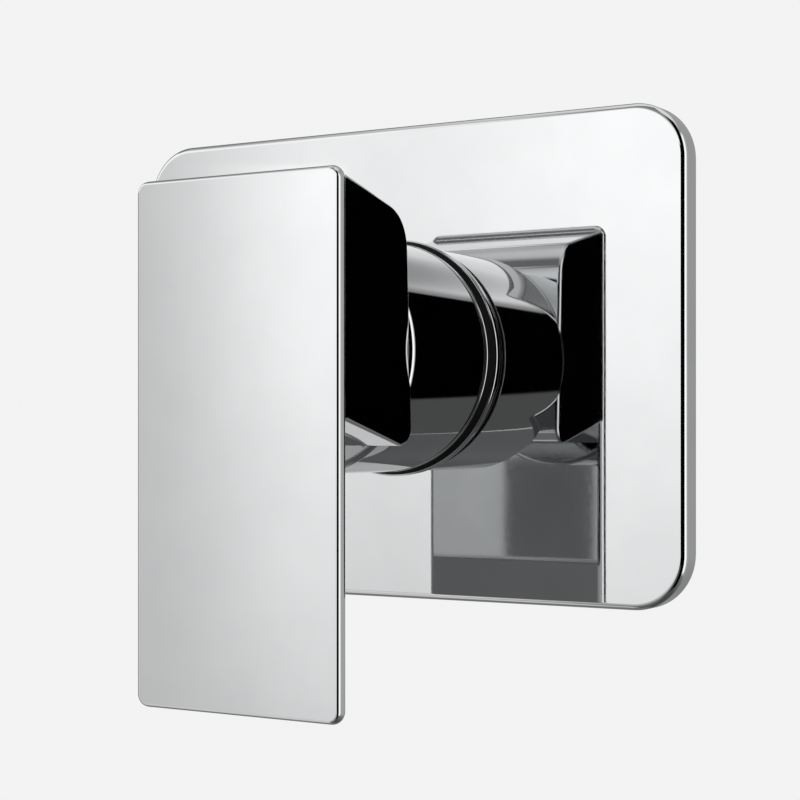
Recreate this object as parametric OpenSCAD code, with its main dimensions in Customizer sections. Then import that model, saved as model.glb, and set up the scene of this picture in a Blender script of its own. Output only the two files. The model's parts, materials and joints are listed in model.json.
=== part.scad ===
// Concealed shower valve trim with a paddle lever.
// +Z is up and +Y goes into the wall. The wall face is the plane Y = 0, and the valve axis is the Y axis.
// Every sub-part is drawn lying down: x across, y up and z out of the wall. out() stands it upright.

/* [Plate] */
// Width of the wall plate
plate_w = 158; // [120:1:200]
// Height of the wall plate
plate_h = 120; // [100:1:180]
// How far the middle of the plate sits below the valve axis
plate_low = 1; // [0:0.2:3]
// Distance from the wall to the plate's front face
plate_front = 7.4; // [6.4:0.2:12]
// Sheet thickness of the plate
plate_wall = 1.6; // [1:0.1:2]
// Radius of the plate's corners
plate_corner = 13.5; // [8:0.5:25]
// Radius of the plate's front edge
plate_edge = 1.2; // [0.6:0.1:1.5]
// Thickness of the foam seal behind the rim
gasket_t = 0.8; // [0.5:0.1:1.5]
// Width of the foam seal
gasket_w = 3.5; // [2.5:0.5:5]

/* [Carrier frame] */
// Gap between the frame's outline and the inside of the plate's rim
frame_inset = 4; // [3:0.5:8]
// Thickness of the frame
frame_t = 2.4; // [1.5:0.1:2.6]
// Distance between the two fixing screws
screw_spacing = 92; // [84:1:100]
// Radius of the fixing screws
screw_r = 2.5; // [2:0.25:3]
// How far the fixing screws reach into the wall
screw_reach = 28; // [15:1:50]
// Width of each spring clip
clip_w = 12; // [8:1:20]
// Distance between the clips along the long sides
clip_spacing = 96; // [88:1:105]

/* [Sleeve and hub] */
// Radius of the trim ring on the plate
collar_r = 30; // [29.9:0.1:34]
// How far the trim ring stands off the plate
collar_t = 1; // [0.8:0.1:2]
// Wall of the trim ring where it sits in the plate's hole
collar_wall = 0.6; // [0.4:0.1:0.8]
// Outer radius of the sleeve and the hub
hub_r = 28.9; // [28:0.1:29.2]
// Wall of the sleeve and the hub
hub_wall = 1.8; // [1.4:0.1:2]
// How far the sleeve stands off the plate
sleeve_show = 4; // [2.4:0.1:5]
// How far the sleeve reaches behind the wall face
sleeve_reach = 4; // [1:0.5:8]
// Length of the rubber wiper let into the sleeve
wiper_l = 4.2; // [3:0.1:6]
// Depth of the wiper's groove in the sleeve
wiper_depth = 0.9; // [0.6:0.1:1]
// Lip of the sleeve in front of the wiper
sleeve_lip = 0.5; // [0.4:0.1:0.8]
// Open groove between the sleeve and the hub
groove_w = 1.6; // [1.2:0.1:4]
// Depth of that groove
groove_depth = 0.6; // [0.4:0.1:1.4]
// Length of the hub
hub_l = 34.2; // [30:0.1:45]
// Thickness of the hub's front wall
hub_front_t = 2.6; // [2:0.2:4]
// Radius of the hub's front edge
hub_edge = 1.5; // [0.8:0.1:1.8]
// Chamfer of the hub's rear edge
hub_chamfer = 0.2; // [0.1:0.1:1.2]

/* [Lever] */
// Width of the paddle
paddle_w = 55.8; // [46:0.2:60]
// Height of the paddle above the valve axis
paddle_rise = 38.8; // [36:0.1:48]
// Depth of the paddle below the valve axis
paddle_drop = 82; // [50:1:100]
// Thickness of the paddle
paddle_t = 3.4; // [2.4:0.1:5]
// Radius of the paddle's corners
paddle_corner = 3; // [2:0.2:6]
// Radius of the paddle's front edge
paddle_edge = 0.8; // [0.4:0.1:1.2]
// Depth of the block between the hub and the paddle
block_d = 25.7; // [22:0.1:32]
// Height of the block's top above the axis where it meets the paddle
block_rise = 37; // [32:0.5:38]
// Depth of the block's underside below the axis where it meets the paddle
block_drop = 16.3; // [14:0.1:22]
// Fall of the block's top and underside towards the wall, in degrees
block_fall = 14; // [4:1:16]
// Radius of the block's rear top corner
block_top_r = 10; // [6:0.5:12]
// Radius of the block's rear bottom corner
block_low_r = 4.5; // [1.5:0.5:5]

/* [Handle fixing] */
// Radius of the adapter's spigot inside the lever
spigot_r = 9.9; // [8.5:0.1:11]
// How deep the spigot sits in the lever
spigot_l = 15; // [12:0.5:18]
// Radius of the adapter's flange behind the hub's front wall
flange_r = 17; // [14:0.5:22]
// Thickness of the adapter's flange
flange_t = 2.5; // [2:0.1:4]
// Radius of the grub screw
grub_r = 2.5; // [2:0.1:3]
// Length of the grub screw
grub_l = 5; // [4:0.2:6]
// Distance of the grub screw in front of the hub
grub_at = 8; // [6:0.5:10]
// Radius of the adapter screw's shank
adapter_screw_r = 2; // [1.5:0.1:2.5]
// Radius of the adapter screw's head
adapter_head_r = 3.6; // [3:0.1:4.5]
// Height of the adapter screw's head
adapter_head_t = 3; // [2:0.2:4]

/* [Cartridge] */
// Outer radius of the cartridge housing
housing_r = 18; // [17.5:0.1:19]
// Wall of the cartridge housing
housing_wall = 2.6; // [2.4:0.1:3]
// Distance from the wall face to the housing's front shoulder
housing_front = 8; // [7.4:0.2:9]
// How far the housing reaches into the wall
housing_reach = 30; // [28:1:36]
// Thickness of the housing's front wall
housing_front_t = 4; // [3:0.2:5]
// Length of the neck on the housing
neck_l = 8; // [6:0.5:10]
// Outer radius of the neck
neck_r = 10.5; // [9.5:0.1:11]
// Radius of the stem inside the neck
stem_r = 7; // [6:0.1:7.5]
// Radius of the stem inside the adapter
stem_tip_r = 5; // [4:0.1:5.5]
// Thickness of each ceramic disc
disc_t = 4; // [3:0.2:5]
// Thickness of the disc driver
driver_t = 6.6; // [5:0.2:8]
// Radius of the two water inlets
inlet_r = 3; // [2:0.1:3.2]
// Radius of the water outlet
outlet_r = 3.2; // [2:0.1:3.4]
// Radius of the pressure spool
spool_r = 4; // [3.4:0.1:4.4]
// Length of the pressure spool
spool_l = 19; // [17:0.5:20]
// How far the spool travels to each side
spool_travel = 2; // [1:0.1:2.2]

/* [Bonnet nut] */
// Radius of the nut's thread
thread_r = 21; // [20.6:0.1:22.5]
// How far the thread reaches into the wall
thread_reach = 8; // [6:0.5:12]
// Thickness of the nut's flange
nut_flange_t = 6; // [5:0.2:7]
// Cord radius of the sleeve's sealing ring
sleeve_ring_r = 0.9; // [0.7:0.05:1.1]

/* [Limit stop] */
// How far the handle turns, in degrees
turn_range = 160; // [90:5:200]
// Width of the stop arm, in degrees
arm_angle = 30; // [20:1:40]
// Height of the stop ring's base
stop_base_t = 2.5; // [2:0.1:3.5]
// Thickness of the stop arm
arm_t = 2.6; // [2:0.1:3.5]

/* [Fits] */
// Radial clearance of a turning or sliding fit
run_fit = 0.05; // [0.02:0.01:0.1]
// Radial clearance between pieces that stay put
still_fit = 0.1; // [0.05:0.01:0.15]
// Open gap between bodies that move past each other
move_gap = 0.35; // [0.3:0.05:0.5]

/* [Hidden] */
$fn = 96;

// Cuts run this far past the face that they open
past = 1;

// Stations along the axis, measured out from the wall
plate_inside = plate_front - plate_wall;
sleeve_end = plate_front + sleeve_show;
wiper_back = sleeve_end - sleeve_lip - wiper_l;
hub_back = sleeve_end + groove_w;
hub_front = hub_back + hub_l;
hub_inside = hub_front - hub_front_t;
paddle_back = hub_front + block_d;
paddle_front = paddle_back + paddle_t;
flange_back = hub_inside - flange_t;
spigot_end = hub_front + spigot_l;
neck_end = housing_front + neck_l;
housing_inside = housing_front - housing_front_t;
driver_front = housing_inside - move_gap;
driver_back = driver_front - driver_t;
moving_back = driver_back - disc_t;
fixed_front = moving_back - run_fit;
fixed_back = fixed_front - disc_t;

// Radii that follow from the fits
hub_bore_r = hub_r - hub_wall;
wiper_seat_r = hub_r - wiper_depth;
collar_bore_r = hub_r + still_fit;
collar_spigot_r = collar_bore_r + collar_wall;
plate_hole_r = collar_spigot_r + still_fit;
housing_bore_r = housing_r - housing_wall;
base_r = housing_bore_r - still_fit;
neck_bore_r = stem_r + run_fit;

module out(z = 0) {
    rotate([90, 0, 0]) translate([0, 0, z]) children();
}

module tube(r_out, r_in, h) {
    difference() {
        cylinder(r = r_out, h = h);
        translate([0, 0, -past]) cylinder(r = r_in, h = h + 2 * past);
    }
}

module ring_cord(r_mid, r_cord) {
    rotate_extrude() translate([r_mid, 0]) circle(r = r_cord, $fn = 32);
}

module at_corners(w, h, inset) {
    for (x = [-1, 1], y = [-1, 1])
        translate([x * (w / 2 - inset), y * (h / 2 - inset)]) children();
}

module rounded_rect(w, h, r) {
    square([w, h - 2 * r], center = true);
    square([w - 2 * r, h], center = true);
    at_corners(w, h, r) circle(r = r);
}

// The cross-section of a plate, from its middle out to its rounded front edge
module edge_profile(half, t, edge) {
    square([half, t - edge]);
    square([half - edge, t]);
    translate([half - edge, t - edge]) circle(r = edge, $fn = 32);
}

module edge_bar(half, t, edge, length) {
    rotate([90, 0, 90]) translate([0, 0, -length / 2]) linear_extrude(length) {
        edge_profile(half, t, edge);
        mirror([1, 0]) edge_profile(half, t, edge);
    }
}

// A plate with rounded corners whose front edge is rounded all the way round
module rounded_slab(w, h, t, corner, edge) {
    edge_bar(h / 2, t, edge, w - 2 * corner);
    rotate(90) edge_bar(w / 2, t, edge, h - 2 * corner);
    at_corners(w, h, corner) rotate_extrude() edge_profile(corner, t, edge);
}

// Plate, foam seal and carrier

// Draws a shape about the middle of the plate
module on_plate() {
    translate([0, -plate_low, 0]) children();
}

module escutcheon_plate() {
    rim_back = gasket_t;
    inner = [plate_w - 2 * plate_wall, plate_h - 2 * plate_wall];
    color("gainsboro") out(rim_back) difference() {
        on_plate() rounded_slab(plate_w, plate_h, plate_front - rim_back, plate_corner, plate_edge);
        translate([0, 0, -past]) {
            linear_extrude(plate_inside - rim_back + past)
                on_plate() rounded_rect(inner[0], inner[1], plate_corner - plate_wall);
            cylinder(r = plate_hole_r, h = plate_front + 2 * past);
        }
    }
}

module wall_gasket() {
    gasket_inset = 0.4;
    outer = [plate_w - 2 * gasket_inset, plate_h - 2 * gasket_inset];
    corner = plate_corner - gasket_inset;
    color("dimgray") out() linear_extrude(gasket_t) on_plate() difference() {
        rounded_rect(outer[0], outer[1], corner);
        rounded_rect(outer[0] - 2 * gasket_w, outer[1] - 2 * gasket_w, corner - gasket_w);
    }
}

frame_w = plate_w - 2 * (plate_wall + frame_inset);
frame_h = plate_h - 2 * (plate_wall + frame_inset);

// The screws have a shoulder where they pass through the frame
shoulder_r = screw_r + 0.6;

module at_screws() {
    for (side = [-1, 1]) translate([side * screw_spacing / 2, 0, 0]) children();
}

module carrier_frame() {
    color("lightslategray") out() linear_extrude(frame_t) difference() {
        on_plate() rounded_rect(frame_w, frame_h, plate_corner - frame_inset);
        circle(r = plate_hole_r);
        at_screws() circle(r = shoulder_r + still_fit, $fn = 48);
    }
}

module fixing_screws() {
    head_r = 1.8 * screw_r;
    head_t = 2;
    slot_w = 0.9;
    color("silver") at_screws() out(-screw_reach) difference() {
        union() {
            cylinder(r = screw_r, h = screw_reach);
            translate([0, 0, screw_reach]) cylinder(r = shoulder_r, h = frame_t);
            translate([0, 0, screw_reach + frame_t]) cylinder(r = head_r, h = head_t);
        }
        for (turn = [0, 90]) rotate(turn)
            translate([-0.6 * head_r, -slot_w / 2, screw_reach + frame_t + head_t / 2])
                cube([1.2 * head_r, slot_w, head_t]);
    }
}

// Each clip is a bent strip: a foot on the frame and a leg that presses on the rim
module plate_clips() {
    strip = 0.6;
    foot_l = 8;
    reach = frame_inset - strip - still_fit;
    edge_y = frame_h / 2;
    rise = plate_inside - frame_t - still_fit;
    bend = edge_y + reach - strip;
    color("silver") for (x = [-1, 1], side = [0, 180])
        out() on_plate() rotate(side) translate([x * clip_spacing / 2 - clip_w / 2, 0, frame_t])
            rotate([90, 0, 90]) linear_extrude(clip_w) polygon([
                [edge_y - foot_l, 0], [bend, 0], [edge_y + frame_inset - still_fit, rise / 2],
                [bend, rise], [bend - strip, rise], [edge_y + reach, rise / 2],
                [bend - strip, strip], [edge_y - foot_l, strip]]);
}

// Sleeve, rings and bonnet nut

module collar_ring() {
    spigot = plate_wall;
    rim = 0.4;
    color("gainsboro") out(plate_inside) difference() {
        union() {
            cylinder(r = collar_spigot_r, h = spigot + collar_t / 2);
            translate([0, 0, spigot]) cylinder(r = collar_r, h = collar_t - rim);
            translate([0, 0, spigot + collar_t - rim])
                cylinder(r1 = collar_r, r2 = collar_r - rim, h = rim);
        }
        translate([0, 0, -past]) cylinder(r = collar_bore_r, h = spigot + collar_t + 2 * past);
    }
}

module sleeve() {
    rim = 0.3;
    length = sleeve_end + sleeve_reach;
    color("gainsboro") out(-sleeve_reach) difference() {
        union() {
            cylinder(r = hub_r, h = length - rim);
            translate([0, 0, length - rim]) cylinder(r1 = hub_r, r2 = hub_r - rim, h = rim);
        }
        translate([0, 0, -past]) cylinder(r = hub_bore_r, h = length + 2 * past);
        translate([0, 0, wiper_back + sleeve_reach]) tube(hub_r + past, wiper_seat_r, wiper_l);
    }
}

// The wiper keeps water out between the sleeve and the trim ring
module wiper_ring() {
    color("black") out(wiper_back + still_fit)
        tube(hub_r - still_fit, wiper_seat_r + run_fit, wiper_l - 2 * still_fit);
}

// The nut's flange carries the sleeve, and the stop ring lies in its mouth
nut_gap = 0.4;
nut_rise = 2;
stop_ring_w = 3;
nut_flange_r = hub_bore_r - nut_gap;
nut_front = housing_front + nut_rise;
nut_flange_back = nut_front - nut_flange_t;
nut_bore_r = housing_r + still_fit;
sleeve_groove_at = nut_flange_back + nut_flange_t / 2 - 0.8;
stop_ring_r = neck_r + still_fit + stop_ring_w;

module glide_ring() {
    overlap = 2;
    wall = 3;
    spigot_l = sleeve_end - nut_front + overlap;
    flange = hub_back - move_gap - sleeve_end;
    seat_r = nut_flange_r + still_fit;
    color("black") out(sleeve_end - spigot_l) difference() {
        union() {
            cylinder(r = hub_bore_r - still_fit, h = spigot_l);
            translate([0, 0, spigot_l]) cylinder(r = hub_r - groove_depth, h = flange);
        }
        translate([0, 0, -past]) cylinder(r = hub_bore_r - wall, h = spigot_l + flange + 2 * past);
        translate([0, 0, -past]) cylinder(r = seat_r, h = overlap + still_fit + past);
    }
}

module bonnet_nut() {
    groove_half = sleeve_ring_r + still_fit;
    notches = 6;
    notch_r = 2;
    notch_t = 1.5;
    color("darkkhaki") out() difference() {
        union() {
            translate([0, 0, -thread_reach]) cylinder(r = thread_r, h = thread_reach + nut_front);
            translate([0, 0, nut_flange_back]) cylinder(r = nut_flange_r, h = nut_flange_t);
        }
        translate([0, 0, -thread_reach - past])
            cylinder(r = nut_bore_r, h = thread_reach + past + housing_front);
        cylinder(r = stop_ring_r + still_fit, h = nut_front + past);
        translate([0, 0, sleeve_groove_at - groove_half])
            tube(nut_flange_r + past, hub_bore_r - 2 * sleeve_ring_r, 2 * groove_half);
        for (i = [0 : notches - 1]) rotate(i * 360 / notches)
            translate([thread_r - 0.5, 0, nut_front - notch_t])
                cylinder(r = notch_r, h = notch_t + past, $fn = 32);
    }
}

module sleeve_oring() {
    color("black") out(sleeve_groove_at) ring_cord(hub_bore_r - sleeve_ring_r - 0.02, sleeve_ring_r - 0.02);
}

// Cartridge

housing_ring_r = 1.1;
housing_groove_r = housing_r - 1.4;
housing_groove_at = -housing_reach + 6;

module cartridge_housing() {
    color("gray") out() difference() {
        union() {
            translate([0, 0, -housing_reach]) cylinder(r = housing_r, h = housing_reach + housing_front);
            cylinder(r = neck_r, h = neck_end);
        }
        translate([0, 0, -housing_reach - past])
            cylinder(r = housing_bore_r, h = housing_reach + past + housing_inside);
        cylinder(r = neck_bore_r, h = neck_end + past);
        translate([0, 0, housing_groove_at - housing_ring_r])
            tube(housing_r + past, housing_groove_r, 2 * housing_ring_r);
    }
}

module housing_oring() {
    color("black") out(housing_groove_at) ring_cord(housing_groove_r + housing_ring_r, housing_ring_r - 0.02);
}

// The ports keep their distance from the housing's bore
inlet_inset = 8.4;
outlet_inset = 6.4;
port_x = housing_bore_r - inlet_inset;
outlet_y = outlet_inset - housing_bore_r;
seal_r = 0.9;
seal_seat_t = 1.2;
spool_at = (fixed_back - housing_reach) / 2;
spool_bore_l = spool_l + 2 * spool_travel + 2 * move_gap;
plug_x = spool_bore_l / 2;

module at_ports() {
    for (side = [-1, 1]) translate([side * port_x, 0, 0]) children();
    translate([0, outlet_y, 0]) children();
}

module cartridge_base() {
    length = fixed_back + housing_reach;
    color("white") out(-housing_reach) difference() {
        cylinder(r = base_r, h = length);
        for (side = [-1, 1]) translate([side * port_x, 0, -past])
            cylinder(r = inlet_r, h = length + 2 * past, $fn = 48);
        translate([0, outlet_y, -past]) cylinder(r = outlet_r, h = length + 2 * past, $fn = 48);
        at_ports() translate([0, 0, -past]) cylinder(r = outlet_r + 2.3, h = seal_seat_t + past, $fn = 48);
        translate([-plug_x, 0, spool_at + housing_reach]) rotate([0, 90, 0])
            cylinder(r = spool_r + run_fit, h = plug_x + base_r + past, $fn = 64);
    }
}

module port_seals() {
    color("black") out(-housing_reach + seal_seat_t - seal_r) at_ports()
        ring_cord(outlet_r + 1.3, seal_r - 0.02);
}

module spool_plug() {
    color("gray") out(spool_at) intersection() {
        translate([plug_x, 0, 0]) rotate([0, 90, 0]) cylinder(r = spool_r, h = base_r, $fn = 64);
        translate([0, 0, -2 * spool_r]) cylinder(r = base_r, h = 4 * spool_r);
    }
}

module balance_spool() {
    waist_r = 0.6 * spool_r;
    land = 3;
    middle = 4;
    color("silver") out(spool_at) rotate([0, 90, 0]) {
        translate([0, 0, -spool_l / 2]) cylinder(r = waist_r, h = spool_l, $fn = 48);
        for (side = [-1, 1]) translate([0, 0, side * (spool_l - land) / 2 - land / 2])
            cylinder(r = spool_r, h = land, $fn = 64);
        translate([0, 0, -middle / 2]) cylinder(r = spool_r, h = middle, $fn = 64);
    }
}

module disc_windows() {
    at_ports() translate([0, 0, -past]) cylinder(r = inlet_r, h = disc_t + 2 * past, $fn = 48);
}

module fixed_disc() {
    color("ivory") out(fixed_back) difference() {
        cylinder(r = base_r, h = disc_t);
        disc_windows();
    }
}

peg_r = 1.5;
peg_l = 1.6;
peg_at = [0, 9.5];
disc_r = housing_bore_r - 2 * move_gap;

module at_pegs() {
    for (turn = [0, 120, -120]) rotate(turn) translate(peg_at) children();
}

module moving_disc() {
    color("ivory") out(moving_back) difference() {
        cylinder(r = disc_r, h = disc_t);
        translate([0, -6, -past]) cylinder(r = 5, h = disc_t / 2 + past);
        at_pegs() translate([0, 0, disc_t - peg_l - still_fit])
            cylinder(r = peg_r + still_fit, h = peg_l + past, $fn = 32);
    }
}

tang = [10, 5];
tang_l = 4.4;

module disc_driver() {
    color("goldenrod") out(driver_back) {
        difference() {
            cylinder(r = disc_r, h = driver_t);
            translate([0, 0, driver_t - tang_l - still_fit]) linear_extrude(tang_l + still_fit + past)
                square([tang[0] + 2 * still_fit, tang[1] + 2 * still_fit], center = true);
        }
        at_pegs() translate([0, 0, -peg_l]) cylinder(r = peg_r, h = peg_l + 0.5, $fn = 32);
    }
}

// Stem, stop and handle fixing

stem_ring_r = 0.9;
stem_groove_at = housing_front;
stem_end = hub_front - 2.4;
adapter_back = neck_end + arm_t + 3.2;
flat_y = 0.7 * stem_tip_r;
thread_hole_l = 12;

module stem_tip(clearance, h) {
    intersection() {
        cylinder(r = stem_tip_r + clearance, h = h);
        translate([-2 * stem_tip_r, -2 * stem_tip_r, 0])
            cube([4 * stem_tip_r, 2 * stem_tip_r + flat_y + clearance, h]);
    }
}

module stem() {
    color("burlywood") out() difference() {
        union() {
            translate([0, 0, driver_front - tang_l]) linear_extrude(tang_l + 0.5) square(tang, center = true);
            translate([0, 0, driver_front]) cylinder(r = stem_r, h = neck_end - driver_front + 0.6);
            translate([0, 0, neck_end]) stem_tip(0, stem_end - neck_end);
        }
        translate([0, 0, stem_groove_at - stem_ring_r - still_fit])
            tube(stem_r + past, stem_r - 2 * stem_ring_r + 0.1, 2 * (stem_ring_r + still_fit));
        translate([0, 0, stem_end - thread_hole_l])
            cylinder(r = adapter_screw_r + still_fit, h = thread_hole_l + past, $fn = 48);
    }
}

module stem_oring() {
    color("black") out(stem_groove_at) ring_cord(stem_r - stem_ring_r + 0.06, stem_ring_r - 0.06);
}

arm_back = neck_end + 0.6;
stop_top = arm_back + arm_t - 0.4;

// The space between two rays from the axis, out to radius r
module wedge(r, from, to, h) {
    steps = ceil((to - from) / 30);
    linear_extrude(h) polygon(concat([[0, 0]],
        [for (i = [0 : steps]) let (a = from + (to - from) * i / steps) 2 * r * [cos(a), sin(a)]]));
}

module limit_stop_ring() {
    bore_r = neck_r + still_fit;
    slack = 1.5;
    // The arm hangs at the bottom at rest and turns towards +x
    free_from = -90 - arm_angle / 2 - slack;
    free_to = free_from + turn_range + arm_angle + 2 * slack;
    color("firebrick") out(housing_front) {
        tube(stop_ring_r, bore_r, stop_base_t);
        intersection() {
            tube(stop_ring_r, bore_r, stop_top - housing_front);
            wedge(stop_ring_r, free_to, free_from + 360, stop_top - housing_front);
        }
    }
}

module stop_arm() {
    hole_fit = 0.02;
    color("goldenrod") out(arm_back) difference() {
        union() {
            cylinder(r = stem_tip_r + 3, h = arm_t);
            intersection() {
                cylinder(r = stop_ring_r, h = arm_t);
                wedge(stop_ring_r, -90 - arm_angle / 2, -90 + arm_angle / 2, arm_t);
            }
        }
        translate([0, 0, -past]) stem_tip(hole_fit, arm_t + 2 * past);
    }
}

module handle_adapter() {
    head_seat = spigot_end - adapter_head_t - 1;
    color("sienna") out() difference() {
        union() {
            translate([0, 0, adapter_back]) cylinder(r = spigot_r, h = spigot_end - adapter_back);
            translate([0, 0, flange_back]) cylinder(r = flange_r, h = flange_t);
        }
        translate([0, 0, adapter_back - past])
            stem_tip(still_fit, stem_end - adapter_back + past + still_fit);
        translate([0, 0, stem_end - past])
            cylinder(r = adapter_screw_r + still_fit, h = spigot_end, $fn = 48);
        translate([0, 0, head_seat]) cylinder(r = adapter_head_r + still_fit, h = spigot_end, $fn = 48);
    }
}

module adapter_screw() {
    head_seat = spigot_end - adapter_head_t - 1;
    socket_r = 0.5 * adapter_head_r;
    color("silver") out() difference() {
        union() {
            translate([0, 0, stem_end - thread_hole_l + 1])
                cylinder(r = adapter_screw_r, h = head_seat - stem_end + thread_hole_l, $fn = 48);
            translate([0, 0, head_seat]) cylinder(r = adapter_head_r, h = adapter_head_t, $fn = 48);
        }
        translate([0, 0, head_seat + adapter_head_t / 2]) cylinder(r = socket_r, h = adapter_head_t, $fn = 6);
    }
}

// Hub and lever

module hub_skirt() {
    bore_l = hub_inside - hub_back;
    color("gainsboro") out(hub_back) difference() {
        union() {
            cylinder(r1 = hub_r - hub_chamfer, r2 = hub_r, h = hub_chamfer);
            translate([0, 0, hub_chamfer]) cylinder(r = hub_r, h = hub_l - hub_chamfer - hub_edge);
            cylinder(r = hub_r - hub_edge, h = hub_l);
            translate([0, 0, hub_l - hub_edge]) ring_cord(hub_r - hub_edge, hub_edge);
        }
        translate([0, 0, -past]) cylinder(r = hub_bore_r, h = bore_l + past);
        cylinder(r = spigot_r + still_fit, h = hub_l + past);
    }
}

function unit(v) = v / norm(v);

// A convex outline whose corners are rounded by true circles. Each point is [x, y, radius].
module rounded_outline(points) {
    n = len(points);
    function spot(i) = [points[(i + n) % n][0], points[(i + n) % n][1]];
    function ahead(i) = unit(spot(i + 1) - spot(i));
    function behind(i) = unit(spot(i - 1) - spot(i));
    function half(i) = acos(ahead(i) * behind(i)) / 2;
    function run(i) = points[i][2] / tan(half(i));
    polygon([for (i = [0 : n - 1]) each
        points[i][2] > 0 ? [spot(i) + behind(i) * run(i), spot(i) + ahead(i) * run(i)] : [spot(i)]]);
    for (i = [0 : n - 1]) if (points[i][2] > 0)
        translate(spot(i) + unit(ahead(i) + behind(i)) * points[i][2] / sin(half(i)))
            circle(r = points[i][2]);
}

fall = block_d * tan(block_fall);
paddle_h = paddle_rise + paddle_drop;
paddle_mid = (paddle_rise - paddle_drop) / 2;
grub_axis = hub_front + grub_at;

module lever_block() {
    translate([-paddle_w / 2, 0, 0]) rotate([90, 0, 90]) linear_extrude(paddle_w) rounded_outline([
        [block_rise - fall, hub_front, block_top_r], [block_rise, paddle_back, 0],
        [block_rise, paddle_back + paddle_t / 2, 0], [-block_drop, paddle_back + paddle_t / 2, 0],
        [-block_drop, paddle_back, 0], [-block_drop - fall, hub_front, block_low_r]]);
}

module lever_handle() {
    color("gainsboro") out() difference() {
        union() {
            translate([0, paddle_mid, paddle_back])
                rounded_slab(paddle_w, paddle_h, paddle_t, paddle_corner, paddle_edge);
            lever_block();
        }
        translate([0, 0, hub_front - past])
            cylinder(r = spigot_r + still_fit, h = spigot_l + past + still_fit);
        translate([0, 0, grub_axis]) rotate([90, 0, 0])
            cylinder(r = grub_r + still_fit, h = block_drop + fall + past, $fn = 48);
    }
}

module grub_screw() {
    color("silver") out() difference() {
        translate([0, -spigot_r, grub_axis]) rotate([90, 0, 0]) cylinder(r = grub_r, h = grub_l, $fn = 48);
        translate([0, -spigot_r - grub_l / 2, grub_axis]) rotate([90, 0, 0])
            cylinder(r = 0.5 * grub_r, h = grub_l, $fn = 6);
    }
}

module grub_plug() {
    underside = block_drop + (paddle_back - grub_axis - grub_r) * tan(block_fall);
    plug_l = underside - spigot_r - grub_l;
    color("silver") out() translate([0, -spigot_r - grub_l, grub_axis]) rotate([90, 0, 0])
        cylinder(r = grub_r, h = plug_l, $fn = 48);
}

escutcheon_plate();
wall_gasket();
carrier_frame();
fixing_screws();
plate_clips();
collar_ring();
sleeve();
wiper_ring();
glide_ring();
bonnet_nut();
sleeve_oring();
cartridge_housing();
housing_oring();
cartridge_base();
port_seals();
spool_plug();
fixed_disc();
limit_stop_ring();
balance_spool();
moving_disc();
disc_driver();
stem();
stem_oring();
stop_arm();
handle_adapter();
adapter_screw();
hub_skirt();
lever_handle();
grub_screw();
grub_plug();
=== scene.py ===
import json
import math

import bmesh
import bpy
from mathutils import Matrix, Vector


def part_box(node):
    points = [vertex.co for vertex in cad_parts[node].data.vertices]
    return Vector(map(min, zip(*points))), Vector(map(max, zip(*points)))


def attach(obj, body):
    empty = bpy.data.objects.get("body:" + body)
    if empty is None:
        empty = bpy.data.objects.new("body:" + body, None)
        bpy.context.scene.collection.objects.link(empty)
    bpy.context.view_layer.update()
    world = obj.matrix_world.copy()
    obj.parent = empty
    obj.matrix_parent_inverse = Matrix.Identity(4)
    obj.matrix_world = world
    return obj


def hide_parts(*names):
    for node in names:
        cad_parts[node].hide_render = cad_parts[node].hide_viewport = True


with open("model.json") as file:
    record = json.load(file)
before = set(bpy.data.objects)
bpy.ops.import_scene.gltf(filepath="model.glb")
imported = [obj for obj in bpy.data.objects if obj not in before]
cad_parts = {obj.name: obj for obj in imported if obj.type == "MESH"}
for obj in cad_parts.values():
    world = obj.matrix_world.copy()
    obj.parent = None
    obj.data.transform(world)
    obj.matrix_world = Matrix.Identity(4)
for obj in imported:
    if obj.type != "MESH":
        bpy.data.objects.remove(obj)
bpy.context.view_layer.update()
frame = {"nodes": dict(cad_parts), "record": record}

MM = 0.001


# Camera, as the photograph has it: level, 31 degrees to the right of the valve axis

CAMERA_AT = Vector((0.2396, -0.4035, -0.0188))
AZIMUTH = math.radians(31)
FOCAL_PX = 1818
HORIZON_PX = 432
FRAME_PX = 800
SENSOR_MM = 36

camera_data = bpy.data.cameras.new("camera")
camera_data.sensor_width = SENSOR_MM
camera_data.lens = FOCAL_PX * SENSOR_MM / FRAME_PX
camera_data.shift_y = (HORIZON_PX - FRAME_PX / 2) / FRAME_PX
camera = bpy.data.objects.new("camera", camera_data)
camera.location = CAMERA_AT
camera.rotation_euler = (math.radians(90), 0, AZIMUTH)
bpy.context.scene.collection.objects.link(camera)
bpy.context.scene.camera = camera


# Node helpers

# Nearly all values of a noise lie between these two
NOISE_LOW = 0.3
NOISE_HIGH = 0.7


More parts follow.
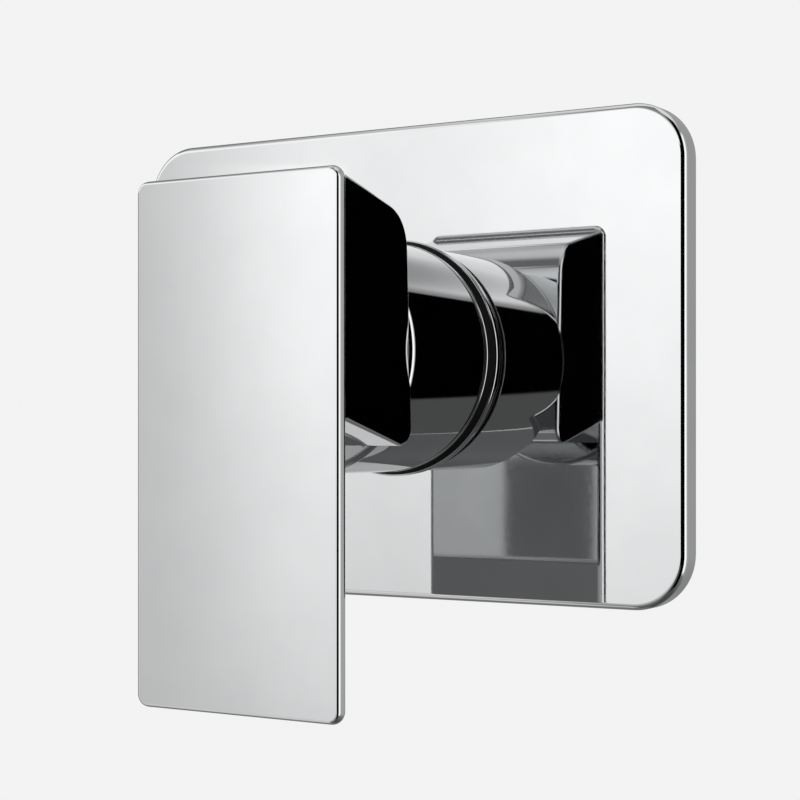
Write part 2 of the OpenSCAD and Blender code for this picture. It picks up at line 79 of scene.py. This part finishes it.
class Shader:
    """A material's node tree, with short calls for the nodes used here."""

    def __init__(self, name):
        self.material = bpy.data.materials.new(name)
        self.material.use_nodes = True
        self.tree = self.material.node_tree
        self.surface = self.tree.nodes["Principled BSDF"]

    def node(self, kind, **settings):
        made = self.tree.nodes.new(kind)
        for key, value in settings.items():
            if key in made.inputs:
                made.inputs[key].default_value = value
            else:
                setattr(made, key, value)
        return made

    def link(self, source, target):
        self.tree.links.new(source, target)

    def noise(self, scale, detail=4.0, roughness=0.55):
        place = self.node("ShaderNodeTexCoord")
        made = self.node("ShaderNodeTexNoise", Scale=scale, Detail=detail, Roughness=roughness)
        self.link(place.outputs["Object"], made.inputs["Vector"])
        return made.outputs["Fac"]

    def spread(self, value, low, high, start=NOISE_LOW, end=NOISE_HIGH):
        made = self.node("ShaderNodeMapRange")
        made.inputs["From Min"].default_value = start
        made.inputs["From Max"].default_value = end
        made.inputs["To Min"].default_value = low
        made.inputs["To Max"].default_value = high
        self.link(value, made.inputs["Value"])
        return made.outputs["Result"]

    def two_tones(self, value, dark, light):
        ramp = self.node("ShaderNodeValToRGB")
        ramp.color_ramp.elements[0].position = NOISE_LOW
        ramp.color_ramp.elements[1].position = NOISE_HIGH
        ramp.color_ramp.elements[0].color = (*dark, 1)
        ramp.color_ramp.elements[1].color = (*light, 1)
        self.link(value, ramp.inputs["Fac"])
        self.link(ramp.outputs["Color"], self.surface.inputs["Base Color"])

    def bump(self, value, strength, distance):
        made = self.node("ShaderNodeBump", Strength=strength, Distance=distance)
        self.link(value, made.inputs["Height"])
        self.link(made.outputs["Normal"], self.surface.inputs["Normal"])


# Materials. A grain is a noise's scale, so a larger number is finer. A bump is (strength, depth in metres).

CHROME_TONE = 0.72
# Painted shade: a darker chrome tone for the lever's back
PAINTED_SHADE_BACK_TONE = 0.56
CHROME_DARKER = (-0.015, -0.005, 0.0)
CHROME_LIGHTER = (0.02, 0.025, 0.03)
CHROME_TINT_GRAIN = 60
CHROME_HAZE_GRAIN = 900
CHROME_HAZE = (0.012, 0.035)
CHROME_WAVE_GRAIN = 45
CHROME_WAVE = (0.02, 0.0002)
METAL_GRAIN = 1200
METAL_PATCH = 6
METAL_SPREAD = (0.8, 1.3)
METAL_BUMP = (0.15, 0.00002)
PLASTIC_GRAIN = 2500
PLASTIC_PATCH = 20
PLASTIC_SPREAD = (0.85, 1.15)
PLASTIC_BUMP = (0.2, 0.00003)
PLAIN_SHINE = 0.5


def chrome(name, tone=CHROME_TONE):
    """Bright plating: a faint haze that varies, and a very slight waviness of the polish."""
    made = Shader(name)
    made.surface.inputs["Metallic"].default_value = 1.0
    dark = [tone + step for step in CHROME_DARKER]
    light = [tone + step for step in CHROME_LIGHTER]
    made.two_tones(made.noise(CHROME_TINT_GRAIN), dark, light)
    haze = made.spread(made.noise(CHROME_HAZE_GRAIN), *CHROME_HAZE)
    made.link(haze, made.surface.inputs["Roughness"])
    made.bump(made.noise(CHROME_WAVE_GRAIN, detail=1.0), *CHROME_WAVE)
    return made.material


def metal(name, dark, light, roughness, grain=METAL_GRAIN):
    """Turned or plated metal: patches of two tones, and a fine grain in its gloss and its surface."""
    made = Shader(name)
    made.surface.inputs["Metallic"].default_value = 1.0
    fine = made.noise(grain, detail=6.0)
    made.two_tones(made.noise(grain / METAL_PATCH), dark, light)
    gloss = made.spread(fine, roughness * METAL_SPREAD[0], roughness * METAL_SPREAD[1])
    made.link(gloss, made.surface.inputs["Roughness"])
    made.bump(fine, *METAL_BUMP)
    return made.material


def plastic(name, dark, light, roughness, grain=PLASTIC_GRAIN, shine=PLAIN_SHINE):
    """Moulded plastic, rubber, foam or ceramic, with the same kind of detail."""
    made = Shader(name)
    made.surface.inputs["Specular IOR Level"].default_value = shine
    fine = made.noise(grain, detail=3.0)
    made.two_tones(made.noise(grain / PLASTIC_PATCH), dark, light)
    gloss = made.spread(fine, roughness * PLASTIC_SPREAD[0], roughness * PLASTIC_SPREAD[1])
    made.link(gloss, made.surface.inputs["Roughness"])
    made.bump(fine, *PLASTIC_BUMP)
    return made.material


MATERIALS = {
    "chrome": chrome("chrome_plate"),
    "foam": plastic("foam_seal", (0.030, 0.030, 0.032), (0.055, 0.055, 0.058), 0.9, grain=1500),
    "frame_plastic": plastic("frame_plastic", (0.10, 0.12, 0.145), (0.125, 0.145, 0.17), 0.5),
    "zinc_steel": metal("zinc_steel", (0.48, 0.49, 0.50), (0.62, 0.62, 0.60), 0.32),
    "black_plastic": plastic("black_plastic", (0.008, 0.008, 0.009), (0.014, 0.014, 0.015), 0.38),
    "brass": metal("brass", (0.55, 0.38, 0.13), (0.68, 0.50, 0.22), 0.28),
    "rubber": plastic("rubber", (0.003, 0.003, 0.003), (0.006, 0.006, 0.006), 0.62, shine=0.15),
    "grey_plastic": plastic("grey_plastic", (0.13, 0.135, 0.14), (0.17, 0.175, 0.18), 0.42),
    "white_plastic": plastic("white_plastic", (0.62, 0.62, 0.59), (0.70, 0.70, 0.68), 0.42),
    "ceramic": plastic("ceramic", (0.74, 0.70, 0.60), (0.80, 0.77, 0.68), 0.16),
    "amber_plastic": plastic("amber_plastic", (0.42, 0.20, 0.03), (0.50, 0.25, 0.05), 0.4),
    "red_plastic": plastic("red_plastic", (0.30, 0.012, 0.010), (0.38, 0.018, 0.014), 0.4),
    "stainless": metal("stainless", (0.50, 0.50, 0.50), (0.62, 0.62, 0.61), 0.25),
}

# The lever's back gets a darker copy of the chrome: painted shade, which makes its mirror image in the
# plate look darker
PAINTED_SHADE_CHROME = chrome("chrome_back_painted_shade", tone=PAINTED_SHADE_BACK_TONE)

for entry in frame["record"]["subparts"]:
    part_object = frame["nodes"][entry["node"]]
    part_object.data.materials.clear()
    part_object.data.materials.append(MATERIALS[entry["material_slot"]])


# Mesh helpers. A point is drawn as across (x), up (z) and out of the wall (-y).

ARC_STEP = math.radians(5)
SHARP_ANGLE = math.radians(28)
FLAT_FACE_WEIGHT = 100
ROUND_SIDES = 256
EDGE_STEPS_AT_LEAST = 2
CORNER_STEPS_AT_LEAST = 3
PLATE_CORNER_STEPS = 24
PADDLE_CORNER_STEPS = 14
BLOCK_CORNER_STEPS = 16
SMALLEST_RADIUS = 0.05 * MM


def spot(across, up, out):
    return Vector((across, -out, up))


def edge_profile(arcs):
    """Points (sideways, backwards) along a rounded edge.

    Each arc is (radius, from, to), with the direction it faces in degrees: 0 to the front, 90 to the side
    and 180 to the back. A straight run is ("run", length).
    """
    points = [(0.0, 0.0)]
    facing = 0.0
    for arc in arcs:
        side, back = points[-1]
        if arc[0] == "run":
            turn = math.radians(facing)
            points.append((side + arc[1] * math.cos(turn), back + arc[1] * math.sin(turn)))
            continue
        radius, start, end = arc[0], math.radians(arc[1]), math.radians(arc[2])
        steps = max(EDGE_STEPS_AT_LEAST, math.ceil((end - start) / ARC_STEP))
        for i in range(1, steps + 1):
            turn = start + (end - start) * i / steps
            points.append((side + radius * (math.sin(turn) - math.sin(start)),
                           back + radius * (math.cos(start) - math.cos(turn))))
        facing = arc[2]
    return points


def rounded_rectangle(width, height, corner, steps):
    """Points of a rounded rectangle about the origin, anticlockwise from the top of its right-hand side."""
    points = []
    for quarter, (sx, sy) in enumerate(((1, 1), (-1, 1), (-1, -1), (1, -1))):
        middle_x = sx * (width / 2 - corner)
        middle_y = sy * (height / 2 - corner)
        for i in range(steps + 1):
            turn = math.pi / 2 * (quarter + i / steps)
            points.append((middle_x + corner * math.cos(turn), middle_y + corner * math.sin(turn)))
    return points


def loft(rings, cap_first=False, cap_last=False, loop=False):
    """A bmesh whose rings of equal length are joined one to the next."""
    made = bmesh.new()
    rows = [[made.verts.new(point) for point in ring] for ring in rings]
    count = len(rows[0])
    pairs = list(zip(rows, rows[1:]))
    if loop:
        pairs.append((rows[-1], rows[0]))
    for low, high in pairs:
        for i in range(count):
            j = (i + 1) % count
            made.faces.new((low[i], low[j], high[j], high[i]))
    if cap_first:
        made.faces.new(list(reversed(rows[0])))
    if cap_last:
        made.faces.new(rows[-1])
    bmesh.ops.recalc_face_normals(made, faces=made.faces)
    return made


def turns_of(sides):
    """The angles at which a circle of so many sides has its corners."""
    return [2 * math.pi * i / sides for i in range(sides)]


def lathe(profile):
    """A closed turned solid about the valve axis. Each profile point is (radius, out)."""
    rings = []
    for radius, out in profile:
        rings.append([spot(radius * math.cos(turn), radius * math.sin(turn), out)
                      for turn in turns_of(ROUND_SIDES)])
    return loft(rings, loop=True)


def bar(sides, ends, at):
    """A closed bar between two ends. at(turn, end) gives a point of its surface."""
    rings = [[at(turn, end) for turn in turns_of(sides)] for end in ends]
    return loft(rings, cap_first=True, cap_last=True)


def to_object(name, made):
    mesh = bpy.data.meshes.new(name)
    made.to_mesh(mesh)
    made.free()
    piece = bpy.data.objects.new(name, mesh)
    bpy.context.scene.collection.objects.link(piece)
    return piece


def cut(piece, other, operation):
    """Applies a boolean and deletes the other object."""
    change = piece.modifiers.new("cut", "BOOLEAN")
    change.operation = operation
    change.solver = "EXACT"
    change.object = other
    bpy.context.view_layer.update()
    graph = bpy.context.evaluated_depsgraph_get()
    done = bpy.data.meshes.new_from_object(piece.evaluated_get(graph))
    piece.modifiers.clear()
    piece.data = done
    bpy.data.objects.remove(other)


def finish(piece, body, material, replaced):
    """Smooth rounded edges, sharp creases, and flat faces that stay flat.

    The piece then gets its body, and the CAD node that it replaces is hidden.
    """
    for face in piece.data.polygons:
        face.use_smooth = True
    piece.data.set_sharp_from_angle(angle=SHARP_ANGLE)
    flat = piece.modifiers.new("flat_faces", "WEIGHTED_NORMAL")
    flat.keep_sharp = True
    flat.weight = FLAT_FACE_WEIGHT
    piece.data.materials.clear()
    piece.data.materials.append(MATERIALS[material])
    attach(piece, body)
    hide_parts(replaced)


# Wall plate

PLATE_CORNER = 13.5 * MM
PLATE_EDGE = 1.6 * MM
PLATE_WALL = 1.6 * MM
PLATE_BACK_EDGE = 0.3 * MM
HOLE_CLEARANCE = 0.1 * MM


def wall_plate():
    """A thin shell with a turned-back rim. Its middle is lower than the valve axis, where its hole is."""
    low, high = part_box("escutcheon_plate")
    width, height = high.x - low.x, high.z - low.z
    middle = (high.z + low.z) / 2
    front, back = -low.y, -high.y
    hole = SPIGOT_RADIUS + HOLE_CLEARANCE
    side_run = front - back - PLATE_EDGE - PLATE_BACK_EDGE
    edge = edge_profile([(PLATE_EDGE, 0, 90), ("run", side_run), (PLATE_BACK_EDGE, 90, 180)])

    def ring(inset, out):
        outline = rounded_rectangle(width - 2 * inset, height - 2 * inset, PLATE_CORNER - inset,
                                    PLATE_CORNER_STEPS)
        return [spot(across, middle + up, out) for across, up in outline]

    def hole_ring(out):
        turns = [math.atan2(point.z, point.x) for point in ring(0, out)]
        return [spot(hole * math.cos(turn), hole * math.sin(turn), out) for turn in turns]

    rings = [hole_ring(front)]
    rings += [ring(PLATE_EDGE - side, front - depth) for side, depth in edge]
    inside = front - PLATE_WALL
    rings += [ring(PLATE_WALL, back), ring(PLATE_WALL, inside), hole_ring(inside)]
    piece = to_object("wall_plate", loft(rings, loop=True))
    finish(piece, "trim_body", "chrome", "escutcheon_plate")


# Trim ring, sleeve, wiper and hub

SPIGOT_RADIUS = 29.6 * MM
RING_WALL = 1.0 * MM
RING_EDGE = 0.5 * MM
SLEEVE_EDGE = 0.45 * MM
SLEEVE_WALL = 1.8 * MM
WIPER_DEPTH = 0.9 * MM
WIPER_GAP = 0.1 * MM
WIPER_SEAT_GAP = 0.15 * MM
SKIRT_GAP = 0.03 * MM
SKIRT_INSET = 0.35 * MM
SKIRT_EDGE = 0.15 * MM
SKIRT_SLOPE = 24
SKIRT_FROM_TOP = 0.4 * MM
HUB_FRONT_EDGE = 1.5 * MM
HUB_BACK_EDGE = 0.08 * MM
HUB_FRONT_WALL = 2.6 * MM
HUB_BORE_IN_FRONT = 10 * MM


def rounded_corner(radius, out, size, start, end):
    """Points of a rounded corner in a turned profile, as (radius, out).

    The corner faces from start to end in degrees: 0 away from the axis, 90 out of the wall and -90
    towards the wall.
    """
    steps = max(CORNER_STEPS_AT_LEAST, math.ceil(abs(math.radians(end - start)) / ARC_STEP))
    turns = [math.radians(start + (end - start) * i / steps) for i in range(steps + 1)]
    return [(radius + size * math.cos(turn), out + size * math.sin(turn)) for turn in turns]


def trim_ring():
    """The ring at the plate, with the spigot that goes into the plate's hole."""
    low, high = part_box("collar_ring")
    plate_low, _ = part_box("escutcheon_plate")
    radius, top, bottom = high.x, -low.y, -high.y
    seat = -plate_low.y
    bore = radius - RING_WALL
    profile = [(bore, bottom), (SPIGOT_RADIUS, bottom), (SPIGOT_RADIUS, seat), (radius, seat)]
    profile += rounded_corner(radius - RING_EDGE, top - RING_EDGE, RING_EDGE, 0, 90)
    profile.append((bore, top))
    finish(to_object("trim_ring", lathe(profile)), "trim_body", "chrome", "collar_ring")


def hub_sleeve():
    """The tube that stands still behind the hub, with a groove for the wiper."""
    low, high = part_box("sleeve")
    radius, top, bottom = high.x, -low.y, -high.y
    bore = radius - SLEEVE_WALL
    wiper_low, wiper_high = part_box("wiper_ring")
    groove = radius - WIPER_DEPTH
    groove_back, groove_front = -wiper_high.y - WIPER_GAP, -wiper_low.y + WIPER_GAP
    profile = [(bore, bottom), (radius, bottom), (radius, groove_back), (groove, groove_back),
               (groove, groove_front), (radius, groove_front)]
    profile += rounded_corner(radius - SLEEVE_EDGE, top - SLEEVE_EDGE, SLEEVE_EDGE, 0, 90)
    profile.append((bore, top))
    finish(to_object("hub_sleeve", lathe(profile)), "trim_body", "chrome", "sleeve")


def wiper():
    """The rubber ring in the sleeve's groove, with a soft skirt that lies on the trim ring."""
    low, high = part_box("wiper_ring")
    ring_low, ring_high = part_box("collar_ring")
    radius, top, bottom = high.x, -low.y, -high.y
    seat = radius - WIPER_DEPTH + WIPER_SEAT_GAP
    skirt_back = -ring_low.y + SKIRT_GAP
    skirt_radius = ring_high.x - SKIRT_INSET
    skirt_tip = skirt_radius - SKIRT_EDGE
    profile = [(seat, bottom), (radius, bottom), (radius, skirt_back), (skirt_tip, skirt_back)]
    profile += rounded_corner(skirt_tip, skirt_back + SKIRT_EDGE, SKIRT_EDGE, -90, SKIRT_SLOPE)
    profile += [(radius, top - SKIRT_FROM_TOP), (radius, top), (seat, top)]
    finish(to_object("wiper", lathe(profile)), "trim_body", "rubber", "wiper_ring")


def hub():
    """A cup open to the wall, as thick as the sleeve, with a hole in its front for the lever's spigot."""
    low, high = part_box("hub_skirt")
    radius, top, bottom = high.x, -low.y, -high.y
    bore = radius - SLEEVE_WALL
    lip = SLEEVE_EDGE / 2
    profile = rounded_corner(bore + lip, bottom + lip, lip, -180, -90)
    profile += rounded_corner(radius - HUB_BACK_EDGE, bottom + HUB_BACK_EDGE, HUB_BACK_EDGE, -90, 0)
    profile += rounded_corner(radius - HUB_FRONT_EDGE, top - HUB_FRONT_EDGE, HUB_FRONT_EDGE, 0, 90)
    inside = top - HUB_FRONT_WALL
    profile += [(HUB_BORE_IN_FRONT, top), (HUB_BORE_IN_FRONT, inside), (bore, inside)]
    finish(to_object("hub", lathe(profile)), "handle", "chrome", "hub_skirt")


# Lever: one casting, a block that carries a flat paddle. The block's back leans towards the wall at the
# bottom, inside the hub, and its front is sunk into the paddle.

PADDLE_CORNER = 3 * MM
PADDLE_T = 3.4 * MM
PADDLE_FRONT_EDGE = 0.8 * MM
PADDLE_EDGE_TO = 68
PADDLE_SIDE_CROWN = 4.0 * MM
PADDLE_CROWN_TO = 84
BLOCK_INSET = 0.25 * MM
BLOCK_SIDE_EDGE = 1.0 * MM
BLOCK_LEAN = 2.4 * MM
BLOCK_SINK = 2.4 * MM
BLOCK_RISE = 37 * MM
BLOCK_DROP = 16.3 * MM
BLOCK_FALL = math.radians(14)
BLOCK_TOP_R = 10 * MM
BLOCK_LOW_R = 4.5 * MM
BLOCK_SHARP_R = 0.3 * MM
SPIGOT_BORE = 10 * MM
SPIGOT_DEPTH = 15.1 * MM
SPIGOT_SIDES = 64
SPIGOT_CUT_PAST = 2 * MM
GRUB_BORE = 2.6 * MM
GRUB_SIDES = 48
GRUB_CUT_PAST = 4 * MM
FACING_BACK = 0.99
BACK_WITHIN = 1 * MM


def paddle_mesh(low, high):
    """The flat paddle. Its edge turns over a small radius, a long crown and then to the back."""
    width, height = high.x - low.x, high.z - low.z
    middle = (high.z + low.z) / 2
    front = -low.y
    crown = [(PADDLE_FRONT_EDGE, 0, PADDLE_EDGE_TO), (PADDLE_SIDE_CROWN, PADDLE_EDGE_TO, PADDLE_CROWN_TO)]
    rest_of_depth = PADDLE_T - edge_profile(crown)[-1][1]
    back_edge = rest_of_depth / (1 + math.cos(math.radians(PADDLE_CROWN_TO)))
    edge = edge_profile(crown + [(back_edge, PADDLE_CROWN_TO, 180)])
    reach = max(side for side, _ in edge)
    rings = []
    for side, depth in edge:
        inset = reach - side
        outline = rounded_rectangle(width - 2 * inset, height - 2 * inset, PADDLE_CORNER - inset,
                                    PADDLE_CORNER_STEPS)
        rings.append([spot(across, middle + up, front - depth) for across, up in outline])
    return loft(rings, cap_first=True, cap_last=True)


def inset_corners(points, inset):
    """The convex outline of (up, out, radius) corners, either way round, moved inwards."""
    count = len(points)
    middle = Vector((sum(point[0] for point in points) / count, sum(point[1] for point in points) / count))
    moved = []
    for i in range(count):
        before = Vector(points[i - 1][:2])
        here = Vector(points[i][:2])
        after = Vector(points[(i + 1) % count][:2])
        normals = []
        for start, end in ((before, here), (here, after)):
            along = (end - start).normalized()
            normal = Vector((-along.y, along.x))
            if normal.dot(middle - here) < 0:
                normal = -normal
            normals.append(normal)
        bisector = (normals[0] + normals[1]).normalized()
        step = inset / bisector.dot(normals[0])
        radius = max(points[i][2] - inset, SMALLEST_RADIUS)
        moved.append((here.x + bisector.x * step, here.y + bisector.y * step, radius))
    return moved


def rounded_corners(points, steps):
    """The outline of (up, out, radius) corners with each corner as an arc of so many steps."""
    count = len(points)
    outline = []
    for i in range(count):
        here = Vector(points[i][:2])
        ahead = (Vector(points[(i + 1) % count][:2]) - here).normalized()
        behind = (Vector(points[i - 1][:2]) - here).normalized()
        radius = points[i][2]
        half = ahead.angle(behind) / 2
        centre = here + (ahead + behind).normalized() * radius / math.sin(half)
        first = here + behind * radius / math.tan(half) - centre
        last = here + ahead * radius / math.tan(half) - centre
        start = math.atan2(first.y, first.x)
        sweep = (math.atan2(last.y, last.x) - start + math.pi) % (2 * math.pi) - math.pi
        for k in range(steps + 1):
            turn = start + sweep * k / steps
            outline.append((centre.x + radius * math.cos(turn), centre.y + radius * math.sin(turn)))
    return outline


def block_mesh(half_width, back, front):
    """The block's side profile, swept across and rounded over at both sides."""
    fall = (front - back) * math.tan(BLOCK_FALL)
    low_fall = (front - back + BLOCK_LEAN) * math.tan(BLOCK_FALL)
    sunk = front + BLOCK_SINK
    corners = [
        (BLOCK_RISE - fall, back, BLOCK_TOP_R),
        (BLOCK_RISE, front, BLOCK_SHARP_R),
        (BLOCK_RISE, sunk, BLOCK_SHARP_R),
        (-BLOCK_DROP, sunk, BLOCK_SHARP_R),
        (-BLOCK_DROP, front, BLOCK_SHARP_R),
        (-BLOCK_DROP - low_fall, back - BLOCK_LEAN, BLOCK_LOW_R),
    ]
    rounding = edge_profile([(BLOCK_SIDE_EDGE, 0, 90)])
    sections = [(half_width - depth, BLOCK_SIDE_EDGE - side) for side, depth in rounding]
    rings = []
    for sign, order in ((1, sections), (-1, list(reversed(sections)))):
        for across, inset in order:
            outline = rounded_corners(inset_corners(corners, inset), BLOCK_CORNER_STEPS)
            rings.append([spot(sign * across, up, out) for up, out in outline])
    return loft(rings, cap_first=True, cap_last=True)


def lever():
    """Paddle and block as one piece, bored for the adapter and for the grub screw. Its back gets a darker
    copy of the chrome, painted shade.
    """
    low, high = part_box("lever_handle")
    hub_low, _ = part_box("hub_skirt")
    hub_front = -hub_low.y
    paddle_back = -low.y - PADDLE_T
    plug_low, plug_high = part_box("grub_plug")
    grub_out = -(plug_low.y + plug_high.y) / 2
    piece = to_object("lever", paddle_mesh(low, high))
    block = to_object("lever_block", block_mesh(high.x - BLOCK_INSET, hub_front, paddle_back))
    cut(piece, block, "UNION")

    def spigot_at(turn, out):
        return spot(SPIGOT_BORE * math.cos(turn), SPIGOT_BORE * math.sin(turn), out)

    def grub_at(turn, up):
        return spot(GRUB_BORE * math.cos(turn), up, grub_out + GRUB_BORE * math.sin(turn))

    spigot = bar(SPIGOT_SIDES, (hub_front - SPIGOT_CUT_PAST, hub_front + SPIGOT_DEPTH), spigot_at)
    cut(piece, to_object("spigot_bore", spigot), "DIFFERENCE")
    grub = bar(GRUB_SIDES, (plug_low.z - GRUB_CUT_PAST, 0.0), grub_at)
    cut(piece, to_object("grub_bore", grub), "DIFFERENCE")
    finish(piece, "handle", "chrome", "lever_handle")
    # Painted shade: the faces of the paddle's back take the darker chrome copy
    piece.data.materials.append(PAINTED_SHADE_CHROME)
    for face in piece.data.polygons:
        if face.normal.y > FACING_BACK and -face.center.y > paddle_back - BACK_WITHIN:
            face.material_index = 1


wall_plate()
trim_ring()
hub_sleeve()
wiper()
hub()
lever()


# Floor, background and light

WHITE = 0.893
FLOOR_LEVEL = -0.9
FLOOR_RADIUS = 2.6
FLOOR_SIDES = 96
FLOOR_FADE_FROM = 1.1
FLOOR_FADE_TO = FLOOR_RADIUS * 0.98
FLOOR_TONE = 0.8
FLOOR_ROUGHNESS = 0.7


def pale_floor():
    """A round pale floor 0.9 m below the valve axis, which fades into the backdrop at its rim."""
    made = bmesh.new()
    bmesh.ops.create_circle(made, cap_ends=True, radius=FLOOR_RADIUS, segments=FLOOR_SIDES)
    floor = to_object("floor", made)
    floor.location = (0, 0, FLOOR_LEVEL)
    shader = Shader("floor")
    shader.surface.inputs["Base Color"].default_value = (FLOOR_TONE, FLOOR_TONE, FLOOR_TONE, 1)
    shader.surface.inputs["Roughness"].default_value = FLOOR_ROUGHNESS
    place = shader.node("ShaderNodeTexCoord")
    reach = shader.node("ShaderNodeVectorMath", operation="LENGTH")
    shader.link(place.outputs["Object"], reach.inputs[0])
    fade = shader.spread(reach.outputs["Value"], 0.0, 1.0, FLOOR_FADE_FROM, FLOOR_FADE_TO)
    glow = shader.node("ShaderNodeEmission", Strength=WHITE)
    glow.inputs["Color"].default_value = (1, 1, 1, 1)
    mix = shader.node("ShaderNodeMixShader")
    shader.link(fade, mix.inputs[0])
    shader.link(shader.surface.outputs[0], mix.inputs[1])
    shader.link(glow.outputs[0], mix.inputs[2])
    shader.link(mix.outputs[0], shader.tree.nodes["Material Output"].inputs["Surface"])
    floor.data.materials.append(shader.material)
    floor.visible_glossy = False


# The studio as the chrome sees it, in degrees, where a level of 1 is white. An azimuth of 0 is straight
# out from the wall and 90 is to the right. A screen is (azimuth from, to, elevation from, to, soft edge,
# level), and one that comes later stands in front. Between the two lists of screens stands the key light:
# a wide screen on the left, brightest just above the horizon.

PLAIN_LEVEL = 0.85
ROOM_BY_ELEVATION = [(-60, 0.08), (-5, 0.38), (45, 0.38), (65, 0.9)]
BACK_SCREENS = [
    (-166, -60, -90, 60, 12, 0.21),
    (-80, -30, -70, 60, 14, 0.71),
    (100, 160, -35, 45, 14, 0.46),
    (60, 114, -35, 45, 10, 1.33),
]

KEY_LEVEL = 1.3
KEY_FROM = (-41.5, -33)
KEY_TO = (10, 14)
KEY_BY_ELEVATION = [
    (-90, 0.04), (-45, 0.16), (-20, 0.48), (-12.5, 0.48), (-9.2, 0.67), (-1, 0.855), (3, 0.94),
    (8, 1.0), (13, 1.0), (20, 0.9), (26.5, 0.8), (30.5, 0.38), (38, 0.25), (90, 0.15),
]

# An upright part of the key light is a little dimmer. The plate shows it, and the paddle's front, which
# shows what is further left, doesn't. Below the split it begins where the paddle hides the edge, and above
# the split, over the paddle's top, it begins softly. It ends softly on the right.
DIP_DEPTH = 0.13
DIP_SPLIT = 8.35
DIP_SPLIT_SOFT = 0.08
DIP_FROM_BELOW = (-33.0, -32.6)
DIP_FROM_ABOVE = (-39.0, -33.5)
DIP_TO = (-32.0, -24.0)

FRONT_SCREENS = [
    # Light ones: high on the left for the plate's upper edge, and low on the left for the block's underside
    (-95, -31.5, 10, 40, 2, 1.2),
    (-45, -29, -36, -15, 3, 0.85),
    # Dark ones on the right, for the black in the hub and the block
    (0, 72, -50, -5, 4, 0.11),
    (14, 70, -6, 60, 1, 0.0),
    (22.5, 70, -50, 0, 1, 0.0),
    (1, 30, -12, 16, 1, 0.0),
    # A small dark one, which the plate's mirror image of the paddle shows on its right
    (-27.76, -24.8, -5.7, -0.7, 0.12, 0.25),
]

QUARTER_TURN = 90
HALF_TURN = 180
DEGREES = 180 / math.pi
MIX_FACTOR, MIX_LOW, MIX_HIGH = 0, 2, 3


def studio_world():
    """The background as the camera sees it, the studio as gloss sees it, and a plain level for the rest."""
    world = bpy.data.worlds.new("studio")
    bpy.context.scene.world = world
    world.use_nodes = True
    tree = world.node_tree
    tree.nodes.clear()

    def linked(made, index, value):
        if isinstance(value, (int, float)):
            made.inputs[index].default_value = value
        else:
            tree.links.new(value, made.inputs[index])

    def maths(kind, *values):
        made = tree.nodes.new("ShaderNodeMath")
        made.operation = kind
        for index, value in enumerate(values):
            linked(made, index, value)
        return made.outputs[0]

    def smooth(value, start, end, low=0.0, high=1.0):
        made = tree.nodes.new("ShaderNodeMapRange")
        made.interpolation_type = "SMOOTHSTEP"
        for index, number in enumerate((value, start, end, low, high)):
            linked(made, index, number)
        return made.outputs["Result"]

    def mixed(factor, low, high):
        made = tree.nodes.new("ShaderNodeMix")
        made.data_type = "FLOAT"
        linked(made, MIX_FACTOR, factor)
        linked(made, MIX_LOW, low)
        linked(made, MIX_HIGH, high)
        return made.outputs[0]

    def band(value, start, end, soft):
        inside = smooth(value, start, start + soft)
        return maths("MULTIPLY", inside, smooth(value, end - soft, end, 1.0, 0.0))

    def by_elevation(points):
        ramp = tree.nodes.new("ShaderNodeValToRGB")
        stops = ramp.color_ramp.elements
        while len(stops) < len(points):
            stops.new(0.5)
        for stop, (degrees, _) in zip(stops, points):
            stop.position = (degrees + QUARTER_TURN) / HALF_TURN
        # The colours go in once every stop is in its place
        for stop, (_, tone) in zip(stops, points):
            stop.color = (tone, tone, tone, 1)
        place_on_ramp = maths("DIVIDE", maths("ADD", elevation, QUARTER_TURN), HALF_TURN)
        tree.links.new(place_on_ramp, ramp.inputs["Fac"])
        return ramp.outputs["Color"]

    def with_screens(level, screens):
        for left, right, bottom, top, soft, tone in screens:
            sideways = band(azimuth, left, right, soft)
            upright = band(elevation, bottom, top, soft)
            level = mixed(maths("MULTIPLY", sideways, upright), level, tone)
        return level

    place = tree.nodes.new("ShaderNodeTexCoord")
    split = tree.nodes.new("ShaderNodeSeparateXYZ")
    tree.links.new(place.outputs["Generated"], split.inputs["Vector"])
    x, y, z = split.outputs
    azimuth = maths("MULTIPLY", maths("ARCTAN2", x, maths("MULTIPLY", y, -1.0)), DEGREES)
    elevation = maths("MULTIPLY", maths("ARCSINE", z), DEGREES)

    level = with_screens(by_elevation(ROOM_BY_ELEVATION), BACK_SCREENS)
    key = maths("MULTIPLY", by_elevation(KEY_BY_ELEVATION), KEY_LEVEL)
    above = smooth(elevation, DIP_SPLIT - DIP_SPLIT_SOFT, DIP_SPLIT + DIP_SPLIT_SOFT)
    dip_from = mixed(above, smooth(azimuth, *DIP_FROM_BELOW), smooth(azimuth, *DIP_FROM_ABOVE))
    dip_mask = maths("MULTIPLY", dip_from, smooth(azimuth, *DIP_TO, 1.0, 0.0))
    key = maths("MULTIPLY", key, mixed(dip_mask, 1.0, 1.0 - DIP_DEPTH))
    key_mask = maths("MULTIPLY", smooth(azimuth, *KEY_FROM), smooth(azimuth, *KEY_TO, 1.0, 0.0))
    level = with_screens(mixed(key_mask, level, key), FRONT_SCREENS)

    path = tree.nodes.new("ShaderNodeLightPath")
    seen = mixed(path.outputs["Is Glossy Ray"], PLAIN_LEVEL, level)
    seen = mixed(path.outputs["Is Camera Ray"], seen, WHITE)
    background = tree.nodes.new("ShaderNodeBackground")
    background.inputs["Color"].default_value = (1, 1, 1, 1)
    tree.links.new(seen, background.inputs["Strength"])
    output = tree.nodes.new("ShaderNodeOutputWorld")
    tree.links.new(background.outputs["Background"], output.inputs["Surface"])


pale_floor()
studio_world()

bpy.context.scene.view_settings.view_transform = "Standard"
